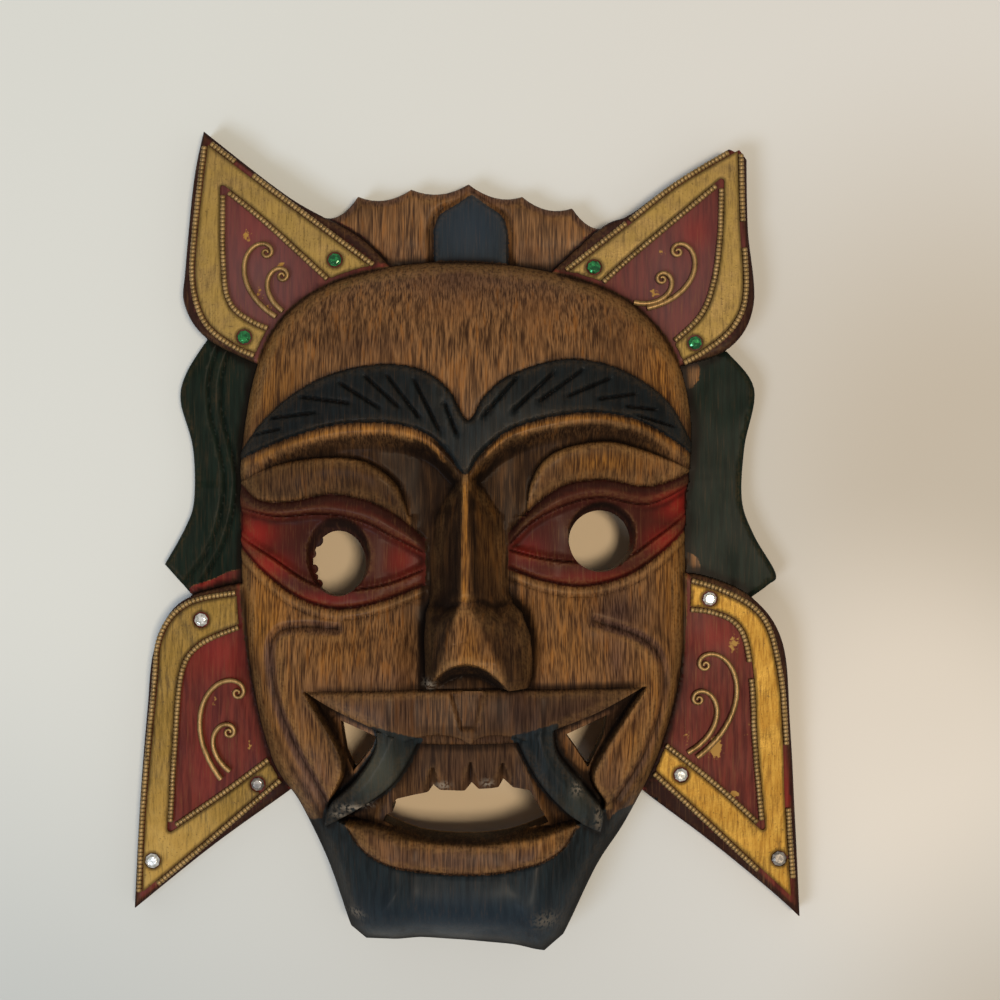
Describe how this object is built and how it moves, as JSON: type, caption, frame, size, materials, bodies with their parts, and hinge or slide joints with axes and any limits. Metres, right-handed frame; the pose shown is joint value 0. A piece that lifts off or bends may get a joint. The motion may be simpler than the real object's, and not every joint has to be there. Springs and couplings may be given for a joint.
{
  "type": "tibetan cham mask",
  "caption": "Carved and painted wooden dance mask of a fanged guardian, pierced at eyes and mouth, with pointed ears trimmed in beaded brass, wire scrolls and glass stones.",
  "frame": {"origin": "under the middle of the mask's length and width, in the plane of the flat back rim it lies on", "axes": "+Z out of the face, away from the surface the mask lies on; +Y from the chin to the crest; +X to the right of somebody looking at the face"},
  "size_m": [0.216, 0.264, 0.0575],
  "materials": {
    "painted_wood": "stained brown and painted in dark red, green and blue-black, satin, worn at the edges",
    "brass": "tarnished, rubbed on the high spots",
    "green_glass": "faceted, foil-backed",
    "clear_glass": "faceted, foil-backed"
  },
  "bodies": {
    "root": {"carved_mask": "painted_wood", "lower_left_band": "brass", "lower_left_bead_inner_curved": "brass", "lower_left_bead_inner_straight": "brass", "lower_left_bead_outer_curved": "brass", "lower_left_bead_outer_straight": "brass", "lower_left_scroll_long": "brass", "lower_left_scroll_short": "brass", "lower_left_stone_1": "clear_glass", "lower_left_stone_2": "clear_glass", "lower_left_stone_3": "clear_glass", "lower_right_band": "brass", "lower_right_bead_inner_curved": "brass", "lower_right_bead_inner_curved_2": "brass", "lower_right_bead_inner_straight": "brass", "lower_right_bead_outer_curved": "brass", "lower_right_bead_outer_curved_2": "brass", "lower_right_bead_outer_straight": "brass", "lower_right_scroll_long": "brass", "lower_right_scroll_short": "brass", "lower_right_stone_1": "clear_glass", "lower_right_stone_2": "clear_glass", "lower_right_stone_3": "clear_glass", "upper_left_band": "brass", "upper_left_bead_inner_curved": "brass", "upper_left_bead_inner_straight": "brass", "upper_left_bead_outer_curved": "brass", "upper_left_bead_outer_straight": "brass", "upper_left_bead_outer_straight_2": "brass", "upper_left_scroll_long": "brass", "upper_left_scroll_short": "brass", "upper_left_stone_1": "green_glass", "upper_left_stone_2": "green_glass", "upper_right_band": "brass", "upper_right_bead_inner_curved": "brass", "upper_right_bead_inner_straight": "brass", "upper_right_bead_outer_curved": "brass", "upper_right_bead_outer_curved_2": "brass", "upper_right_bead_outer_straight": "brass", "upper_right_bead_outer_straight_2": "brass", "upper_right_scroll_long": "brass", "upper_right_scroll_short": "brass", "upper_right_stone_1": "green_glass", "upper_right_stone_2": "green_glass"}
  },
  "joints": []
}
